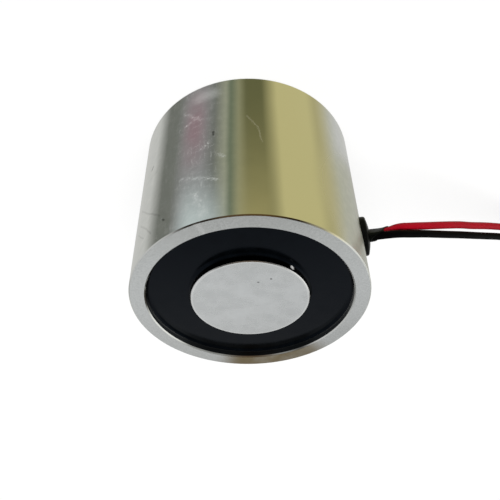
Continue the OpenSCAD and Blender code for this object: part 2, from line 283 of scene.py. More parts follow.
def add(tree, kind, inputs=None, stops=None, **settings):
    """One node: its settings, its colour stops, then its inputs as values, sockets or other nodes."""
    node = tree.nodes.new(kind)
    for name, value in settings.items():
        setattr(node, name, value)
    if stops:
        elements = node.color_ramp.elements
        elements.remove(elements[1])
        elements[0].position, elements[0].color = stops[0]
        for place, colour in stops[1:]:
            elements.new(place).color = colour
    for name, value in (inputs or {}).items():
        if isinstance(value, bpy.types.Node):
            value = next(socket for socket in value.outputs if socket.enabled)
        if isinstance(value, bpy.types.NodeSocket):
            tree.links.new(value, node.inputs[name])
        else:
            node.inputs[name].default_value = value
    return node


def blank(name):
    """A new material with an empty node tree."""
    material = bpy.data.materials.new(name)
    material.use_nodes = True
    material.node_tree.nodes.clear()
    return material, material.node_tree


def band(tree, value, start, end, soft, strength=1.0):
    """A mask: full strength between two values, fading to nothing beyond them."""
    rise = add(tree, "ShaderNodeMapRange", {0: value, 1: start - soft, 2: start + soft}, **SMOOTH)
    fall = add(tree, "ShaderNodeMapRange", {0: value, 1: end + soft, 2: end - soft, 4: strength}, **SMOOTH)
    return add(tree, "ShaderNodeMath", {0: rise, 1: fall}, operation="MULTIPLY")


def coats(tree, base, *layers):
    """A base colour with coats laid over it, each a mask and a colour."""
    colour = linear(base) if isinstance(base, str) else base
    for mask, coat in layers:
        coat = linear(coat) if isinstance(coat, str) else coat
        colour = add(tree, "ShaderNodeMix", {0: mask, 6: colour, 7: coat}, data_type="RGBA")
    return colour


def dress(material, *node_names):
    """Gives CAD nodes their finish."""
    for node_name in node_names:
        slots = nodes[node_name].data.materials
        slots.clear()
        slots.append(material)
    print(material.name, "on", ", ".join(node_names))


print("helpers ready")

# %% [markdown]
# ## Plated steel, laid out flat
# The pot is turned from mild steel, zinc plated and passivated. The plating is bright, so most of its look is
# the room it mirrors, but the passivate adds faint straw and pink tints, and handling leaves scuffs and a few
# scratches. The straw tint is partly a painted reflection: it lies where the side mirrors the khaki curtain
# and carries part of that colour. All of it is laid out on the unrolled side of the pot, arc length against
# height, both in millimetres, so a mark sits where it was made. The flat back has no place on that sheet, so
# straw tint and wear stop at its edge.

# %% Unroll the side
POT_R = 0.025
POT_H = 0.044
FLAT_MM = 0.02
EDGE_MM = 0.06

plating, tree = blank("zinc_plated_steel")
place = add(tree, "ShaderNodeTexCoord").outputs["Object"]
axis = add(tree, "ShaderNodeSeparateXYZ", {0: place}).outputs
angle = add(tree, "ShaderNodeMath", {0: axis["Y"], 1: axis["X"]}, operation="ARCTAN2")
degrees = add(tree, "ShaderNodeMath", {0: angle}, operation="DEGREES")
arc_mm = add(tree, "ShaderNodeMath", {0: angle, 1: POT_R / MM}, operation="MULTIPLY")
height_mm = add(tree, "ShaderNodeMath", {0: axis["Z"], 1: 1 / MM}, operation="MULTIPLY")
unrolled = add(tree, "ShaderNodeCombineXYZ", {0: arc_mm, 1: height_mm})
off_back = add(tree, "ShaderNodeMapRange", {0: height_mm, 1: FLAT_MM, 2: EDGE_MM})
print("side unrolled:", round(2 * math.pi * POT_R / MM), "mm by", round(POT_H / MM), "mm")

# %% [markdown]
# ## Tints of the passivate, partly painted reflection
# A passivate film isn't equally thick all over, so its tint goes from clear to straw round the side, with one
# pinkish cloud. The straw lies where the side mirrors the khaki curtain, and is partly a painted reflection
# of it. A band is written as its start, its end and how softly both fade, in degrees round the pot or in
# millimetres up. Noise some millimetres across makes the pink patchy.

# %% Straw and pink
CLOUD_MM = 7
CLOUDED = (0.25, 0.6)
FAINTEST = 0.6
FILM_MM = 1.6
FILMED = (0.35, 0.75)
STRAW_AND_PAINTED_REFLECTION = (35, 84, 7)
PINK = (101, 112, 5)
PINK_HEIGHT = (4, 25, 8)

cloud = add(tree, "ShaderNodeTexNoise", {"Vector": place, "Scale": 1 / (CLOUD_MM * MM), "Detail": 4.0})
film = add(tree, "ShaderNodeTexNoise", {"Vector": place, "Scale": 1 / (FILM_MM * MM), "Detail": 5.0})
thick = add(tree, "ShaderNodeMapRange", {0: film, 1: FILMED[0], 2: FILMED[1]}, **SMOOTH)
patchy = add(tree, "ShaderNodeMapRange", {0: cloud, 1: CLOUDED[0], 2: CLOUDED[1], 3: FAINTEST}, **SMOOTH)
# Partly painted reflection: the straw band also carries part of the khaki that this side mirrors.
straw_and_painted_reflection = band(tree, degrees, *STRAW_AND_PAINTED_REFLECTION, off_back)
pink = band(tree, degrees, *PINK, band(tree, height_mm, *PINK_HEIGHT, patchy))
print("tints: straw from %d to %d degrees, pink from %d to %d" % (*STRAW_AND_PAINTED_REFLECTION[:2], *PINK[:2]))

# %% [markdown]
# ## Scuffs, scratches and flecks
# Each mark is a line through a few places on the unrolled side, with a width. The distance to that
# line gives a mask, so a handful of marks can be drawn one by one where the real pot has them.
# Noise bends the lines a little, and finer noise breaks the scuffs into feathers.

# %% Draw lines on the side
BEND_MM = 0.3
WOBBLE_MM = 2.5

wobble = add(tree, "ShaderNodeTexNoise", {"Vector": unrolled, "Scale": 1 / WOBBLE_MM, "Detail": 2.0})
wobble = add(tree, "ShaderNodeVectorMath", {0: wobble.outputs["Color"], 1: (0.5, 0.5, 0.5)},
             operation="SUBTRACT")
wobble = add(tree, "ShaderNodeVectorMath", {0: wobble, 1: (2 * BEND_MM, 2 * BEND_MM, 0)},
             operation="MULTIPLY")
bent = add(tree, "ShaderNodeVectorMath", {0: unrolled, 1: wobble}, operation="ADD")


def strokes(lines):
    """A mask for drawn lines, each a width in mm and the places (degrees round, mm up) that it joins."""
    nearest = 1.0
    for width, *places in lines:
        ends = [Vector((math.radians(turn) * POT_R / MM, height, 0)) for turn, height in places]
        for a, b in zip(ends, ends[1:]):
            run = b - a
            offset = add(tree, "ShaderNodeVectorMath", {0: bent, 1: a}, operation="SUBTRACT")
            part = add(tree, "ShaderNodeVectorMath", {0: offset, 1: run / run.length_squared},
                       operation="DOT_PRODUCT")
            part = add(tree, "ShaderNodeClamp", {0: part})
            foot = add(tree, "ShaderNodeVectorMath", {0: run, "Scale": part}, operation="SCALE")
            gap = add(tree, "ShaderNodeVectorMath", {0: offset, 1: foot}, operation="DISTANCE")
            gap = add(tree, "ShaderNodeMath", {0: gap, 1: width}, operation="DIVIDE")
            nearest = add(tree, "ShaderNodeMath", {0: gap, 1: nearest}, operation="MINIMUM")
    return add(tree, "ShaderNodeMapRange", {0: nearest, 1: 1.0, 2: 0.0}, **SMOOTH)


print("lines bend by up to", BEND_MM, "mm")

# %% Draw the marks
SMEAR_MM = 0.7
FEATHERED = (0.4, 0.66)
SCUFF_STRENGTH = 0.5
BLOOM_STRENGTH = 0.3
HAIRLINE_STRENGTH = 0.13
SCRATCH_STRENGTH = 0.2
FLECK_STRENGTH = 0.75

SCUFFS = [
    (0.8, (114, 7.5), (103, 13)), (0.8, (112, 13), (105, 11.5)), (0.7, (102, 23), (98, 21.5)),
    (0.7, (94, 26), (91, 27)), (0.8, (112, 30), (94, 33.5)), (1.3, (104, 36), (99, 42)),
]
BLOOM = [(3.4, (104, 4.5), (98, 4.5))]
SCRATCHES = [
    (0.35, (144, 28), (136, 32), (123, 37)), (0.35, (143, 33), (136, 36), (129, 40)),
    (0.3, (145, 35), (136, 39)), (0.2, (142, 21), (130, 21)),
]
FLECKS = [(0.4, (96, 18.5), (96, 19.5)), (0.45, (136, 17.5), (137, 18)), (0.35, (121, 38.5), (120, 39))]
HAIRLINE = [(0.3, (80, 14.5), (75, 18), (73, 23))]

smear = add(tree, "ShaderNodeTexNoise",
            {"Vector": bent, "Scale": 1 / SMEAR_MM, "Detail": 6.0, "Roughness": 0.7})
feathers = add(tree, "ShaderNodeMapRange",
               {0: smear, 1: FEATHERED[0], 2: FEATHERED[1], 4: SCUFF_STRENGTH}, **SMOOTH)
scuff = add(tree, "ShaderNodeMath", {0: strokes(SCUFFS), 1: feathers}, operation="MULTIPLY")
bloom = add(tree, "ShaderNodeMath", {0: strokes(BLOOM), 1: BLOOM_STRENGTH}, operation="MULTIPLY")
hairline = add(tree, "ShaderNodeMath", {0: strokes(HAIRLINE), 1: HAIRLINE_STRENGTH}, operation="MULTIPLY")
scratch = add(tree, "ShaderNodeMath", {0: strokes(SCRATCHES), 1: SCRATCH_STRENGTH}, operation="MULTIPLY")
fleck = add(tree, "ShaderNodeMath", {0: strokes(FLECKS), 1: FLECK_STRENGTH}, operation="MULTIPLY")
dark = add(tree, "ShaderNodeMath", {0: scratch, 1: fleck}, operation="MAXIMUM")
print("marks:", len(SCUFFS), "scuffs,", len(SCRATCHES), "scratches,", len(FLECKS), "flecks")

# %% [markdown]
# ## A haze of hairlines
# Round the scuffs lies a haze of fine lines, as from wiping. Single hairlines are far too fine to
# show, so they are drawn as noise stretched along and across the side, as coarse as the picture needs.

# %% Wipe marks
WIPE_MM = 0.16
WIPE_RUN_MM = 4
WIPED = (94, 124, 6)
LINED = (0.58, 0.76)
WIPE_STRENGTH = 0.28

worn = add(tree, "ShaderNodeMath", {0: scuff, 1: bloom}, operation="MAXIMUM")
worn = add(tree, "ShaderNodeMath", {0: worn, 1: hairline}, operation="MAXIMUM")
for stretch in ((1 / WIPE_RUN_MM, 1 / WIPE_MM, 0), (1 / WIPE_MM, 1 / WIPE_RUN_MM, 0)):
    stretched = add(tree, "ShaderNodeVectorMath", {0: bent, 1: stretch}, operation="MULTIPLY")
    lines = add(tree, "ShaderNodeTexNoise", {"Vector": stretched, "Scale": 1.0, "Detail": 1.0})
    lines = add(tree, "ShaderNodeMapRange", {0: lines, 1: LINED[0], 2: LINED[1], 4: WIPE_STRENGTH}, **SMOOTH)
    wiped = band(tree, degrees, *WIPED, lines)
    worn = add(tree, "ShaderNodeMath", {0: worn, 1: wiped}, operation="MAXIMUM")
worn = add(tree, "ShaderNodeMath", {0: worn, 1: off_back}, operation="MULTIPLY")
print("wipe marks from %d to %d degrees" % WIPED[:2])

# %% [markdown]
# ## The plating's shader
# Scuffed zinc is powdery, so there the metal gives way to a pale diffuse surface. The rim's ground face is
# bare, rougher than the plating and neutral, and on the far side a brown painted reflection of the dark
# skirting lies on it.
# Round the lead exit the plating is duller, so it mirrors the leads only as a blur. A very shallow
# waviness keeps the mirrored room from looking ruled.

# %% The rim and the colours
RIM_MM = POT_H / MM
GRIND_MM = 0.35
# The span, in degrees round the pot, of the rim's brown painted reflection.
FAR_RIM_REFLECTION = (-114, -60, 9)

rim = add(tree, "ShaderNodeMapRange", {0: height_mm, 1: RIM_MM - EDGE_MM, 2: RIM_MM - FLAT_MM})
grind = add(tree, "ShaderNodeTexNoise", {"Vector": place, "Scale": 1 / (GRIND_MM * MM), "Detail": 3.0})
grit = add(tree, "ShaderNodeMapRange", {0: grind, 1: NOISE_LOW, 2: NOISE_HIGH}, **SMOOTH)
# Painted reflection: the far side of the rim is browned as if it mirrored the dark skirting.
far_rim_reflection = band(tree, degrees, *FAR_RIM_REFLECTION, patchy)
ground = coats(tree, "#D2D4D4", (grit, "#DCDEDE"), (far_rim_reflection, "#8C7E62"))
# The straw coat is partly a painted reflection of the khaki curtain.
colour = coats(tree, "#E4E6E3", (thick, "#ECEDEA"), (straw_and_painted_reflection, "#E9E1BE"), (pink, "#ECCCD2"),
               (worn, "#EEF0EE"), (dark, "#4C4B45"), (rim, ground))
print("rim at", RIM_MM, "mm")

# %% Gloss, waviness and shader
EXIT_MM = (0, 30.5, 0)
DULLED_MM = (25, 13)
DULLNESS = 0.4
BRIGHT_ROUGHNESS = 0.075
WORN_ROUGHNESS = 0.375
RIM_ROUGHNESS = 0.24
WORN_METAL = 0.35
WAVE_MM = 9
WAVE_LIFT = 0.0003
GRIT_LIFT = 0.00003
BUMP_STRENGTH = 0.12

metal = add(tree, "ShaderNodeMapRange", {0: worn, 3: 1.0, 4: WORN_METAL})
from_exit = add(tree, "ShaderNodeVectorMath", {0: unrolled, 1: EXIT_MM}, operation="DISTANCE")
dulled = add(tree, "ShaderNodeMapRange", {0: from_exit, 1: DULLED_MM[0], 2: DULLED_MM[1], 4: DULLNESS},
             **SMOOTH)
rough = add(tree, "ShaderNodeMapRange", {0: worn, 3: BRIGHT_ROUGHNESS, 4: WORN_ROUGHNESS})
rough = add(tree, "ShaderNodeMath", {0: rough, 1: dulled}, operation="ADD")
rough = add(tree, "ShaderNodeMix", {0: rim, 2: rough, 3: RIM_ROUGHNESS})
wave = add(tree, "ShaderNodeTexNoise", {"Vector": place, "Scale": 1 / (WAVE_MM * MM), "Detail": 1.0})
bumps = add(tree, "ShaderNodeBump", {"Strength": BUMP_STRENGTH, "Distance": WAVE_LIFT, "Height": wave})
rim_grit = add(tree, "ShaderNodeMath", {0: rim, 1: BUMP_STRENGTH}, operation="MULTIPLY")
bumps = add(tree, "ShaderNodeBump",
            {"Strength": rim_grit, "Distance": GRIT_LIFT, "Height": grind, "Normal": bumps})
shader = add(tree, "ShaderNodeBsdfPrincipled",
             {"Base Color": colour, "Metallic": metal, "Roughness": rough, "Normal": bumps})
add(tree, "ShaderNodeOutputMaterial", {"Surface": shader})
dress(plating, "pot_shell")

# %% [markdown]
# ## Ground steel
# The pole's face is ground flush with the rim. Its grain is far finer than a pixel, so it is drawn as faint
# mottling, with two small pits, and a paler ring just inside its edge is a painted highlight. Below the face
# the steel's side is painted dark, a painted shade where it mirrors the black resin, and a glint at the edge
# is painted as a pale matt spot. The bore in its back is tapped, and a zigzag of height stands for the
# thread.

# %% The pole's colours
POLE_R = 0.0124
GRAIN_MM = 0.3
MOTTLE_MM = 3
MOTTLED = (0.4, 0.75)
MOTTLE_STRENGTH = 0.3
PIT_R = 0.0003
PITS = [(0.0027, 0.0056, POT_H), (0.0054, 0.0061, POT_H)]
# A painted glint on the pole's side wall, placed by its turn round the pole and its height.
PAINTED_GLINT_TURN = math.radians(37)
PAINTED_GLINT_Z = 0.0429
PAINTED_GLINT = (POLE_R * math.cos(PAINTED_GLINT_TURN), POLE_R * math.sin(PAINTED_GLINT_TURN), PAINTED_GLINT_Z)
PAINTED_GLINT_R = 0.0007
SPOT_CORE = 0.4
FACE_EDGE = 0.00016
# Where the painted shade on the pole's side starts.
PAINTED_SHADE_FOOT = 0.036
# Width of the painted highlight ring just inside the pole's edge.
EDGE_HIGHLIGHT_WIDTH = 0.0003

ground_steel, tree = blank("ground_steel")
place = add(tree, "ShaderNodeTexCoord").outputs["Object"]
axis = add(tree, "ShaderNodeSeparateXYZ", {0: place}).outputs
grain = add(tree, "ShaderNodeTexNoise", {"Vector": place, "Scale": 1 / (GRAIN_MM * MM), "Detail": 3.0})
mottle = add(tree, "ShaderNodeTexNoise", {"Vector": place, "Scale": 1 / (MOTTLE_MM * MM), "Detail": 4.0})
fine = add(tree, "ShaderNodeMapRange", {0: grain, 1: NOISE_LOW, 2: NOISE_HIGH}, **SMOOTH)
dim = add(tree, "ShaderNodeMapRange", {0: mottle, 1: MOTTLED[0], 2: MOTTLED[1], 4: MOTTLE_STRENGTH}, **SMOOTH)
level = add(tree, "ShaderNodeVectorMath", {0: place, 1: (1, 1, 0)}, operation="MULTIPLY")
reach = add(tree, "ShaderNodeVectorMath", {0: level}, operation="LENGTH")
# Painted highlight: a paler ring just inside the face's edge.
painted_edge_highlight = add(tree, "ShaderNodeMapRange", {0: reach, 1: POLE_R - 2 * EDGE_HIGHLIGHT_WIDTH, 2: POLE_R - EDGE_HIGHLIGHT_WIDTH}, **SMOOTH)
# Painted shade: film is the pole's side below the face, darkened where it mirrors the black resin.
film = band(tree, axis["Z"], PAINTED_SHADE_FOOT, POT_H - 1.5 * FACE_EDGE, 0.5 * FACE_EDGE)
layers = [(fine, "#E4E6E7"), (dim, "#DADDDE"), (painted_edge_highlight, "#F4F5F5"), (film, "#1E1D1C")]
# Two pits, then the painted glint as a pale matt spot.
for centre, size, shade in [(pit, PIT_R, "#8A8A8C") for pit in PITS] + [(PAINTED_GLINT, PAINTED_GLINT_R, "#FFFFFF")]:
    gap = add(tree, "ShaderNodeVectorMath", {0: place, 1: centre}, operation="DISTANCE")
    spot = add(tree, "ShaderNodeMapRange", {0: gap, 1: size, 2: SPOT_CORE * size}, **SMOOTH)
    layers.append((spot, shade))
painted_glint = layers[-1][0]
colour = coats(tree, "#E0E2E3", *layers)
print("pole:", len(PITS), "pits and a nick")

# %% The thread and the pole's shader
THREAD_PITCH_MM = 1
THREAD_R = 0.0031
THREAD_FADE = 0.0002
THREAD_LIFT = 0.0012
FACE_ROUGHNESS = (0.25, 0.29)

# The painted glint is matt white, not metal.
metal = add(tree, "ShaderNodeMath", {0: 1.0, 1: painted_glint}, operation="SUBTRACT")
in_bore = add(tree, "ShaderNodeMapRange", {0: reach, 1: THREAD_R, 2: THREAD_R - THREAD_FADE})
turns = add(tree, "ShaderNodeMath", {0: axis["Z"], 1: 1 / (THREAD_PITCH_MM * MM)}, operation="MULTIPLY")
thread = add(tree, "ShaderNodeMath", {0: turns, 1: 0.5}, operation="PINGPONG")
bumps = add(tree, "ShaderNodeBump", {"Strength": BUMP_STRENGTH, "Distance": GRIT_LIFT, "Height": grain})
bumps = add(tree, "ShaderNodeBump",
            {"Strength": in_bore, "Distance": THREAD_LIFT, "Height": thread, "Normal": bumps})
rough = add(tree, "ShaderNodeMapRange",
            {0: mottle, 1: NOISE_LOW, 2: NOISE_HIGH, 3: FACE_ROUGHNESS[0], 4: FACE_ROUGHNESS[1]})
shader = add(tree, "ShaderNodeBsdfPrincipled",
             {"Base Color": colour, "Metallic": metal, "Roughness": rough, "Normal": bumps})
add(tree, "ShaderNodeOutputMaterial", {"Surface": shader})
dress(ground_steel, "core_pole")

# %% [markdown]
# ## Casting resin
# Black epoxy that was poured level and set with a soft gloss. It is nearly black by itself, and what shows on
# it is the bluish sheen of the room, so its reflection does the work: close to the pole it mirrors only the
# pole's side, which carries painted shade. A little dust lies on it.

# %% The resin
DUST_MM = 0.9
SPECK = (0.06, 0.02)
SKIN_MM = 2.5
DUSTY = (0.5, 0.62)
RESIN_ROUGHNESS = (0.16, 0.24)
SKIN_LIFT = 0.00006

resin, tree = blank("casting_resin")
place = add(tree, "ShaderNodeTexCoord").outputs["Object"]
dust = add(tree, "ShaderNodeTexVoronoi", {"Vector": place, "Scale": 1 / (DUST_MM * MM)})
skin = add(tree, "ShaderNodeTexNoise", {"Vector": place, "Scale": 1 / (SKIN_MM * MM), "Detail": 3.0})
pale = add(tree, "ShaderNodeMapRange", {0: skin, 1: NOISE_LOW, 2: NOISE_HIGH}, **SMOOTH)
settled = add(tree, "ShaderNodeMapRange", {0: skin, 1: DUSTY[0], 2: DUSTY[1]}, **SMOOTH)
specks = add(tree, "ShaderNodeMapRange", {0: dust, 1: SPECK[0], 2: SPECK[1], 4: settled}, **SMOOTH)
colour = coats(tree, "#020304", (pale, "#040608"), (specks, "#2A2C2E"))
rough = add(tree, "ShaderNodeMapRange",
            {0: skin, 1: NOISE_LOW, 2: NOISE_HIGH, 3: RESIN_ROUGHNESS[0], 4: RESIN_ROUGHNESS[1]})
bumps = add(tree, "ShaderNodeBump", {"Strength": 0.1, "Distance": SKIN_LIFT, "Height": skin})
shader = add(tree, "ShaderNodeBsdfPrincipled",
             {"Base Color": colour, "Roughness": rough, "Normal": bumps, "Specular IOR Level": 0.1,
              "Specular Tint": linear("#ACC6F2")})
add(tree, "ShaderNodeOutputMaterial", {"Surface": shader})
dress(resin, "potting_ring")

# %% [markdown]
# ## Plastics, rubber and the coil's materials
# These differ in colour, gloss and the size of their unevenness, but are made alike: a noise of a
# few tenths of a millimetre or more varies the colour and the gloss, and lifts the surface a little.
# Extruded vinyl is even and has little shine; moulded rubber and shrunk sleeving have a little more,
# and the sleeving is puckered; enamel leaves copper glossy; polyester film is smooth and amber; solder
# is bright and lumpy.

# %% One line a material
GLOSS_SPREAD = 0.05
LIFT_SHARE = 0.1


def uneven(name, dark_hex, pale_hex, roughness, grain_mm, lift, **constants):
    """A material whose colour varies between two values and whose roughness varies round one."""
    material, tree = blank(name)
    place = add(tree, "ShaderNodeTexCoord").outputs["Object"]
    grain = add(tree, "ShaderNodeTexNoise", {"Vector": place, "Scale": 1 / (grain_mm * MM), "Detail": 4.0})
    pale = add(tree, "ShaderNodeMapRange", {0: grain, 1: NOISE_LOW, 2: NOISE_HIGH}, **SMOOTH)
    rough = add(tree, "ShaderNodeMapRange", {0: grain, 1: NOISE_LOW, 2: NOISE_HIGH,
                                             3: roughness - GLOSS_SPREAD, 4: roughness + GLOSS_SPREAD})
    bumps = add(tree, "ShaderNodeBump",
                {"Strength": lift, "Distance": LIFT_SHARE * grain_mm * MM, "Height": grain})
    inputs = {"Base Color": coats(tree, dark_hex, (pale, pale_hex)), "Roughness": rough, "Normal": bumps}
    inputs.update({constant.replace("_", " "): value for constant, value in constants.items()})
    add(tree, "ShaderNodeOutputMaterial", {"Surface": add(tree, "ShaderNodeBsdfPrincipled", inputs)})
    return material


red_vinyl = uneven("red_vinyl", "#920417", "#9A071A", 0.4, 2.5, 0.1, Specular_IOR_Level=0.08)
black_vinyl = uneven("black_vinyl", "#020202", "#040404", 0.4, 2.5, 0.1, Specular_IOR_Level=0.03)
rubber = uneven("moulded_rubber", "#030303", "#070807", 0.36, 0.5, 0.15, Specular_IOR_Level=0.12)
sleeving = uneven("polyolefin_sleeving", "#020302", "#060706", 0.28, 0.8, 0.35, Specular_IOR_Level=0.12)
nylon = uneven("moulded_nylon", "#D8D2BE", "#E2DDCB", 0.45, 1.2, 0.1)
tie_nylon = uneven("black_tie_nylon", "#0C0C0C", "#161616", 0.5, 0.6, 0.15)
copper = uneven("enamelled_copper", "#8E4A20", "#B0632E", 0.28, 0.6, 0.1, Metallic=0.9, Coat_Weight=0.6)
film_tape = uneven("polyester_film", "#C79A18", "#D8AE2A", 0.22, 3, 0.15)
tin = uneven("tinned_copper", "#B9BBBB", "#D6D7D5", 0.3, 0.3, 0.2, Metallic=1.0)
for lead in (red_lead, red_inner):
    lead.data.materials.append(red_vinyl)
for lead in (black_lead, black_inner):
    lead.data.materials.append(black_vinyl)
shrunk_sleeve.data.materials.append(sleeving)
dress(rubber, "lead_grommet")
dress(nylon, "bobbin")
dress(copper, "coil_winding")
dress(film_tape, "coil_tape")
dress(sleeving, "joint_sleeve_red", "joint_sleeve_black")

# %% [markdown]
# ## Trees that grow a piece
# Strands and ribs repeat by a rule, so Geometry Nodes make them. Each tree has named inputs for its
# sizes, and ends by making its instances real and setting the material. Running a tree on an empty
# mesh, with the sizes set on its modifier, and keeping the evaluated result gives a plain mesh.

# %% Helpers for the trees
EDGE_SEGMENTS = 2


def size_tree(name, *sizes):
    """A Geometry Nodes tree with one named input for each size, and its material."""
    tree = bpy.data.node_groups.new(name, "GeometryNodeTree")
    tree.interface.new_socket("Geometry", in_out="OUTPUT", socket_type="NodeSocketGeometry")
    for size in sizes:
        kind = "NodeSocketInt" if size == "Strands" else "NodeSocketFloat"
        tree.interface.new_socket(size, in_out="INPUT", socket_type=kind)
    tree.interface.new_socket("Material", in_out="INPUT", socket_type="NodeSocketMaterial")
    return tree, add(tree, "NodeGroupInput").outputs


def end_tree(tree, parts, given):
    """Joins the parts, makes them real, and sets the material."""
    joined = add(tree, "GeometryNodeJoinGeometry")
    for part in parts:
        tree.links.new(part.outputs[0], joined.inputs[0])
    real = add(tree, "GeometryNodeRealizeInstances", {0: joined})
    dressed = add(tree, "GeometryNodeSetMaterial", {"Geometry": real, "Material": given["Material"]})
    add(tree, "NodeGroupOutput", {0: dressed})


def grow(name, tree, frame_matrix, bevel=0.0, **sizes):
    """Runs a tree with the given sizes, and keeps the result as a plain mesh in its place."""
    seed = bpy.data.objects.new(name + "_seed", bpy.data.meshes.new(name + "_seed"))
    scene.collection.objects.link(seed)
    growth = seed.modifiers.new("growth", "NODES")
    growth.node_group = tree
    for socket in tree.interface.items_tree:
        if socket.in_out == "INPUT":
            growth[socket.identifier] = sizes[socket.name.replace(" ", "_")]
    if bevel:
        edges = seed.modifiers.new("edges", "BEVEL")
        edges.width = bevel
        edges.segments = EDGE_SEGMENTS
    mesh = bpy.data.meshes.new_from_object(seed.evaluated_get(bpy.context.evaluated_depsgraph_get()))
    bpy.data.objects.remove(seed)
    mesh.transform(frame_matrix)
    piece = bpy.data.objects.new(name, mesh)
    scene.collection.objects.link(piece)
    print(name + ":", len(mesh.polygons), "faces")
    return piece


print("trees ready")

# %% [markdown]
# ## Stranded wire ends
# Each lead ends in seven twisted strands, dipped in solder: one straight core and six helices round
# it, so the bundle is three strands across. One helix becomes a tube, and it is repeated round the
# core. The result is moved to the lead's tip.

# %% Grow the strands
TINNED_D = 0.0008
TINNED_LENGTH = 0.006
STRANDS_ROUND = 6
STRANDS_ACROSS = 3
TWIST_TURNS = 0.8
STRAND_SIDES = 10
HELIX_STEPS = 32

tree, given = size_tree("twisted_strands", "Length", "Diameter", "Strands", "Twist")
strand_r = add(tree, "ShaderNodeMath", {0: given["Diameter"], 1: 1 / (2 * STRANDS_ACROSS)},
               operation="MULTIPLY")
lay_r = add(tree, "ShaderNodeMath", {0: given["Diameter"], 1: 1 / STRANDS_ACROSS}, operation="MULTIPLY")
section = add(tree, "GeometryNodeCurvePrimitiveCircle", {"Resolution": STRAND_SIDES, "Radius": strand_r})
helix = add(tree, "GeometryNodeCurveSpiral",
            {"Resolution": HELIX_STEPS, "Rotations": given["Twist"], "Start Radius": lay_r,
             "End Radius": lay_r, "Height": given["Length"]})
strand = add(tree, "GeometryNodeCurveToMesh", {"Curve": helix, "Profile Curve": section, "Fill Caps": True})
tip = add(tree, "ShaderNodeCombineXYZ", {2: given["Length"]})
core_line = add(tree, "GeometryNodeCurvePrimitiveLine", {"End": tip})
core = add(tree, "GeometryNodeCurveToMesh",
           {"Curve": core_line, "Profile Curve": section, "Fill Caps": True})
ring = add(tree, "GeometryNodePoints", {"Count": given["Strands"]})
number = add(tree, "GeometryNodeInputIndex")
part_turn = add(tree, "ShaderNodeMath", {0: 2 * math.pi, 1: given["Strands"]}, operation="DIVIDE")
strand_turn = add(tree, "ShaderNodeMath", {0: number, 1: part_turn}, operation="MULTIPLY")
round_core = add(tree, "ShaderNodeCombineXYZ", {2: strand_turn})
laid = add(tree, "GeometryNodeInstanceOnPoints",
           {"Points": ring, "Instance": strand, "Rotation": round_core})
end_tree(tree, (core, laid), given)


def along(start, before):
    """The frame of a piece whose own Z axis goes on from the end of a line."""
    heading = (start - before).normalized()
    return Matrix.Translation(start) @ heading.to_track_quat("Z", "Y").to_matrix().to_4x4()


wire_ends = [
    grow("tinned_strands_" + name, tree, along(line[-1], line[-2]), Length=TINNED_LENGTH,
         Diameter=TINNED_D, Strands=STRANDS_ROUND, Twist=TWIST_TURNS, Material=tin)
    for name, line in (("red", red_line), ("black", black_line))
]

# %% [markdown]
# ## The tie round the coil
# A small nylon tie holds the coil. Its strap is a rectangle with rounded corners, swept with a flat
# section, and fine ribs follow the same path at a fixed pitch. The head is a block that the strap
# runs into.

# %% Shape the strap and its ribs
CORNER_STEPS = 6
RIB_SHARE = 0.5
RIB_RISE = 4 / 3
RIB_REACH = 0.7

tree, given = size_tree("ribbed_tie", "Run", "Rise", "Strap width", "Strap thickness", "Rib pitch", "Head")
path = add(tree, "GeometryNodeCurvePrimitiveQuadrilateral", {0: given["Run"], 1: given["Rise"]})
path = add(tree, "GeometryNodeFilletCurve", {"Curve": path, "Count": CORNER_STEPS, "Radius": LEAD_D / 2},
           mode="POLY")
flat = add(tree, "GeometryNodeCurvePrimitiveQuadrilateral",
           {0: given["Strap thickness"], 1: given["Strap width"]})
strap = add(tree, "GeometryNodeCurveToMesh", {"Curve": path, "Profile Curve": flat})
spaced = add(tree, "GeometryNodeResampleCurve", {"Curve": path, "Length": given["Rib pitch"]}, mode="LENGTH")
rib_width = add(tree, "ShaderNodeMath", {0: given["Rib pitch"], 1: RIB_SHARE}, operation="MULTIPLY")
rib_height = add(tree, "ShaderNodeMath", {0: given["Strap thickness"], 1: RIB_RISE}, operation="MULTIPLY")
rib_length = add(tree, "ShaderNodeMath", {0: given["Strap width"], 1: RIB_REACH}, operation="MULTIPLY")
rib_size = add(tree, "ShaderNodeCombineXYZ", {0: rib_width, 1: rib_height, 2: rib_length})
rib = add(tree, "GeometryNodeMeshCube", {"Size": rib_size})
heading = add(tree, "GeometryNodeInputTangent")
rib_turn = add(tree, "FunctionNodeAlignRotationToVector", {"Vector": heading}, axis="X", pivot_axis="Z")
ribs = add(tree, "GeometryNodeInstanceOnPoints", {"Points": spaced, "Instance": rib, "Rotation": rib_turn})
print("strap and ribs:", len(tree.nodes), "nodes")

# %% Add the head and grow the tie
TIE_T = 0.0004
TIE_TURN = math.radians(119)
TIE_BEVEL = 0.00006
STRAP_W = 0.0026
STRAP_SHARE = 0.75
RIB_PITCH = 0.0006
HEAD = 0.0026
HEAD_DROP_SHARE = 0.34

head_size = add(tree, "ShaderNodeCombineXYZ", {0: given["Head"], 1: given["Head"], 2: given["Head"]})
block = add(tree, "GeometryNodeMeshCube", {"Size": head_size})
twice_x = add(tree, "ShaderNodeMath", {0: given["Run"], 1: given["Head"]}, operation="ADD")
head_x = add(tree, "ShaderNodeMath", {0: twice_x, 1: 0.5}, operation="MULTIPLY")
head_drop = add(tree, "ShaderNodeMath", {0: given["Head"], 1: given["Rise"]}, operation="SUBTRACT")
head_y = add(tree, "ShaderNodeMath", {0: head_drop, 1: HEAD_DROP_SHARE}, operation="MULTIPLY")
head_place = add(tree, "ShaderNodeCombineXYZ", {0: head_x, 1: head_y})
head = add(tree, "GeometryNodeTransform", {"Geometry": block, "Translation": head_place})
end_tree(tree, (strap, ribs, head), given)

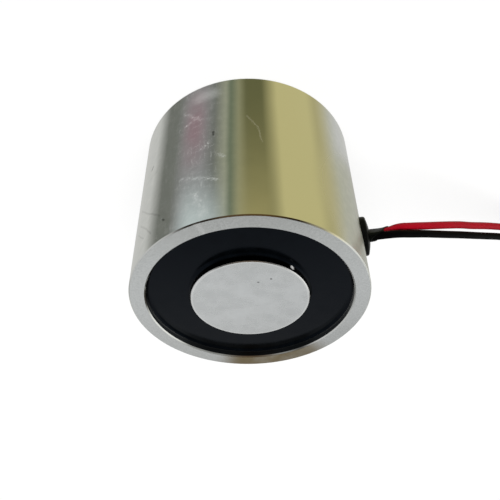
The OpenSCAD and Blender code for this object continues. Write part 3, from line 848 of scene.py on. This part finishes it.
coil_in_r = COIL_R - COIL_TURNS * LEAD_PITCH - LEAD_D / 2
coil_out_r = COIL_R + LEAD_D / 2
coil_h = LEAD_PITCH + LEAD_D
outwards = Vector((math.cos(TIE_TURN), math.sin(TIE_TURN), 0))
up = Vector((0, 0, 1))
tie_middle = COIL_MIDDLE + outwards * (coil_in_r + coil_out_r) / 2 + up * (TIE_T + coil_h / 2)
tie_axes = Matrix((outwards, up, outwards.cross(up))).transposed()
coil_tie = grow("coil_tie", tree, Matrix.Translation(tie_middle) @ tie_axes.to_4x4(), bevel=TIE_BEVEL,
                Run=coil_out_r - coil_in_r + TIE_T, Rise=coil_h + TIE_T, Strap_width=STRAP_W,
                Strap_thickness=STRAP_SHARE * TIE_T, Rib_pitch=RIB_PITCH, Head=HEAD, Material=tie_nylon)

# %% [markdown]
# ## The room
# Polished metal shows its surroundings, so the room matters as much as the plating. The light is
# soft: a broad sun from the viewer's side, whose shadow falls behind the pot, and a world with
# bands of tone. Seen from above, the upright side mirrors what lies below the horizon, so the bands
# are painted there: pale on the far side, and on the viewer's side a khaki curtain, an olive gap,
# then sage and grey cloth. The faces mirror the far wall above the horizon, which is dark below and
# brightest at the height of a window, and behind the viewer hangs a dark shade, which draws the thin
# dark line along the near edge of the rim. Directions are in degrees: round from +X, and up from the
# horizon.

# %% Plan the room
PALE, DUN, KHAKI, OLIVE = "#C8C8C5", "#B2B196", "#C5C4A3", "#666A54"
SAGE, MOSS, PALE_SAGE, CLOTH, SLATE = "#90937C", "#6C7662", "#9C9E8A", "#909090", "#747670"
WALLS = [
    (-180, SLATE), (-160, PALE), (-45, PALE), (-6, DUN), (6, KHAKI), (44, KHAKI), (62, OLIVE),
    (80, OLIVE), (89, SAGE), (98, MOSS), (104, PALE_SAGE), (116, SLATE), (130, CLOTH), (150, CLOTH),
    (165, SLATE), (180, SLATE),
]
GLOWS = [((56, 92, 8), (-58, -40), "#A8A684"), ((108, 150, 14), (-50, -42), "#D0DCDC")]
SKIRTING, SILL, WINDOW, WALL, CEILING = "#36312A", "#D2D1CD", "#EEF0F1", "#A8A8A2", "#6A6A6A"
FAR_WALL = [
    (0, SKIRTING), (23, SKIRTING), (31, SILL), (36, WINDOW), (40, WINDOW), (46, WALL), (60, CEILING),
]
SHADE = ((24, 158, 10), (33, 51), "#2C2620")
CARDS = [
    ((-24, 15), 18, 38, "#F4F4F0"), ((195, 28), 20, 45, "#C8C8C8"), ((80, 45), 10, 30, "#5A4A38"),
    ((-88, 25), 2, 9, SKIRTING),
]


def climb(elevation):
    """How high a direction points, from its angle: the height of its unit vector."""
    return math.sin(math.radians(elevation))


def towards(azimuth, elevation):
    """A direction from its two angles."""
    a, e = math.radians(azimuth), math.radians(elevation)
    return Vector((math.cos(a) * math.cos(e), math.sin(a) * math.cos(e), math.sin(e)))


print("room:", len(WALLS), "stops round the walls,", len(GLOWS) + len(CARDS), "glows and cards")

# %% Find directions in the room
world = bpy.data.worlds.new("room")
world.use_nodes = True
scene.world = world
tree = world.node_tree
tree.nodes.clear()
direction = add(tree, "ShaderNodeTexCoord").outputs["Generated"]
axis = add(tree, "ShaderNodeSeparateXYZ", {0: direction}).outputs
angle = add(tree, "ShaderNodeMath", {0: axis["Y"], 1: axis["X"]}, operation="ARCTAN2")
degrees = add(tree, "ShaderNodeMath", {0: angle}, operation="DEGREES")
turn = add(tree, "ShaderNodeMapRange", {0: degrees, 1: -180.0, 2: 180.0})


def soft_card(aim, inner, outer):
    """A round soft card on the room's wall: 1 within the inner angle, 0 beyond the outer one."""
    nearness = add(tree, "ShaderNodeVectorMath", {0: direction, 1: towards(*aim)}, operation="DOT_PRODUCT")
    rim_out, rim_in = math.cos(math.radians(outer)), math.cos(math.radians(inner))
    return add(tree, "ShaderNodeMapRange", {0: nearness, 1: rim_out, 2: rim_in}, **SMOOTH)


print("directions: %d nodes" % len(tree.nodes))

# %% Paint the room
FAR_WALL_AIM = (-100, 40)
FAR_WALL_SPREAD = (40, 75)
SHADE_SOFT = 0.06
UPPER_WALLS = "#9A9A98"
HORIZON = (-0.2, 0.05)

low = add(tree, "ShaderNodeValToRGB", {0: turn}, stops=[((a + 180) / 360, linear(c)) for a, c in WALLS])
for window, (dim, full), glow in GLOWS:
    rise = add(tree, "ShaderNodeMapRange", {0: axis["Z"], 1: climb(dim), 2: climb(full)}, **SMOOTH)
    low = coats(tree, low, (band(tree, degrees, *window, rise), glow))
far = add(tree, "ShaderNodeValToRGB", {0: axis["Z"]}, stops=[(climb(e), linear(c)) for e, c in FAR_WALL])
shade_width, (shade_foot, shade_top), shade_colour = SHADE
shade_up = band(tree, axis["Z"], climb(shade_foot), climb(shade_top), SHADE_SOFT)
shade = band(tree, degrees, *shade_width, shade_up)
high = coats(tree, UPPER_WALLS, (soft_card(FAR_WALL_AIM, *FAR_WALL_SPREAD), far), (shade, shade_colour),
             *((soft_card(aim, inner, outer), card) for aim, inner, outer, card in CARDS))
horizon = add(tree, "ShaderNodeMapRange", {0: axis["Z"], 1: HORIZON[0], 2: HORIZON[1]}, **SMOOTH)
looked_at = add(tree, "ShaderNodeLightPath").outputs["Is Camera Ray"]
room = coats(tree, low, (horizon, high), (looked_at, "#FFFFFF"))
light = add(tree, "ShaderNodeBackground", {"Color": room, "Strength": 1.0})
add(tree, "ShaderNodeOutputWorld", {"Surface": light})
print("world:", len(tree.nodes), "nodes")

# %% [markdown]
# ## The sun and the floor
# The picture's background is white, so the floor is white paper, and what the camera sees of it and
# of the room beyond is plain white, while the paper still keeps the pot's soft shadow. Mirror rays
# don't meet the paper: it lies so close round the pot that the side would mirror little else, turn
# white and lose its form. They go on to the room, and the sun isn't mirrored either. From below the
# paper is clear, so that the mounting face can be looked at, and it lies a hair lower than that face,
# because two faces in one plane flicker.

# %% Hang the sun
SUN_FROM = (80, 62)
SUN_STRENGTH = 2.8
SUN_SPREAD = math.radians(40)

sun = bpy.data.objects.new("sun", bpy.data.lights.new("sun", "SUN"))
sun.data.energy = SUN_STRENGTH
sun.data.angle = SUN_SPREAD
sun.rotation_mode = "QUATERNION"
sun.rotation_quaternion = (-towards(*SUN_FROM)).to_track_quat("-Z", "Y")
sun.visible_glossy = False
scene.collection.objects.link(sun)
print("sun from", SUN_FROM, "degrees")

# %% Lay the floor
FLOOR_HALF = 4
FLOOR_Z = -0.00005
WHITENESS = 0.75

floor_mesh = bpy.data.meshes.new("floor")
corners = [(x * FLOOR_HALF, y * FLOOR_HALF, FLOOR_Z) for x, y in ((-1, -1), (1, -1), (1, 1), (-1, 1))]
floor_mesh.from_pydata(corners, [], [(0, 1, 2, 3)])
floor = bpy.data.objects.new("floor", floor_mesh)
scene.collection.objects.link(floor)
paper, tree = blank("white_paper")
matt = add(tree, "ShaderNodeBsdfDiffuse", {"Color": linear("#FCFCFC")})
white = add(tree, "ShaderNodeEmission", {"Strength": 1.0})
looked_at = add(tree, "ShaderNodeLightPath").outputs["Is Camera Ray"]
share = add(tree, "ShaderNodeMath", {0: looked_at, 1: WHITENESS}, operation="MULTIPLY")
sheet = add(tree, "ShaderNodeMixShader", {0: share, 1: matt, 2: white})
below = add(tree, "ShaderNodeNewGeometry").outputs["Backfacing"]
clear = add(tree, "ShaderNodeBsdfTransparent")
sheet = add(tree, "ShaderNodeMixShader", {0: below, 1: sheet, 2: clear})
add(tree, "ShaderNodeOutputMaterial", {"Surface": sheet})
floor_mesh.materials.append(paper)
floor.visible_glossy = False
scene.view_settings.view_transform = "Standard"
print("floor:", 2 * FLOOR_HALF, "m across")

# %% [markdown]
# ## Hand the pieces to the frame
# Every piece rides on the one body, each new piece says which CAD solids it stands for, and those solids are
# hidden.

# %% Ride and replace
red_end, black_end = wire_ends
new_pieces = (
    (red_lead, ["lead_red", "lead_red_tail"], "red_insulation"),
    (black_lead, ["lead_black", "lead_coil", "lead_black_tail"], "black_insulation"),
    (red_inner, [], "red_insulation"),
    (black_inner, [], "black_insulation"),
    (shrunk_sleeve, ["lead_sleeve"], "shrink_sleeve"),
    (red_end, ["tinned_end_red"], "tinned_copper"),
    (black_end, ["tinned_end_black"], "tinned_copper"),
    (coil_tie, ["lead_tie"], "tie_nylon"),
)
for piece, gone, slot_name in new_pieces:
    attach(piece, "root")
    if gone:
        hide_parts(*gone)
print("new pieces:", len(new_pieces))

# %% Finish
bpy.context.view_layer.update()
